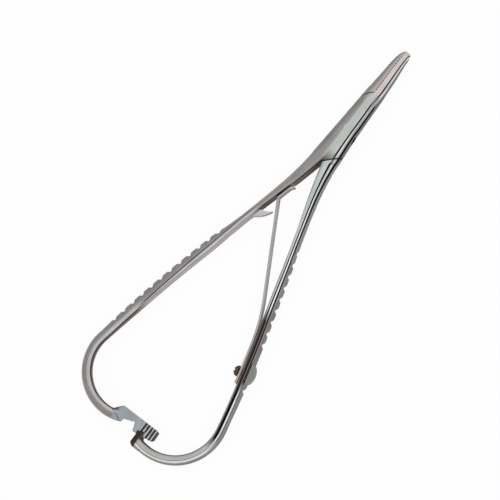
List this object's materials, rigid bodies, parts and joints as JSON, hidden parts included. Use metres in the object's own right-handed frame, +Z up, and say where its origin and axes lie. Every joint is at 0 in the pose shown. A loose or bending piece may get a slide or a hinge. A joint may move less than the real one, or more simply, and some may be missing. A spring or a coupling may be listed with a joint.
{
  "type": "mathieu pliers",
  "caption": "Surgical pliers with two crossed arms in a box lock, serrated jaws, scalloped grips, a ratchet behind the handles and a leaf spring between them.",
  "frame": {"origin": "on the pivot's axis, on the underside of the lock", "axes": "+X along the closed jaws to their tip, +Y to the handle that carries the rack, +Z up from the underside along the pivot"},
  "size_m": [0.1416, 0.0484, 0.006],
  "materials": {
    "arm_steel": "satin",
    "spring_steel": "satin",
    "screw_steel": "dark"
  },
  "bodies": {
    "box_body": {"box_arm": "arm_steel", "pivot_pin": "arm_steel"},
    "hook_body": {"hook_arm": "arm_steel", "spring_screw": "screw_steel"},
    "leaf_body": {"leaf_spring": "spring_steel"}
  },
  "joints": [
    {"name": "pivot", "type": "hinge", "parent": "box_body", "child": "hook_body", "pos_m": [0, 0, 0.003], "axis": [0, 0, 1], "range_deg": [0, 16]},
    {"name": "spring_flex", "type": "hinge", "parent": "hook_body", "child": "leaf_body", "pos_m": [-0.067, -0.01405, 0.003], "axis": [0, 0, 1], "range_deg": [0, 10], "deforming": ["leaf_spring"]}
  ],
  "couplings": [
    {"joint": "spring_flex", "follows": "pivot", "ratio": 0.62}
  ]
}
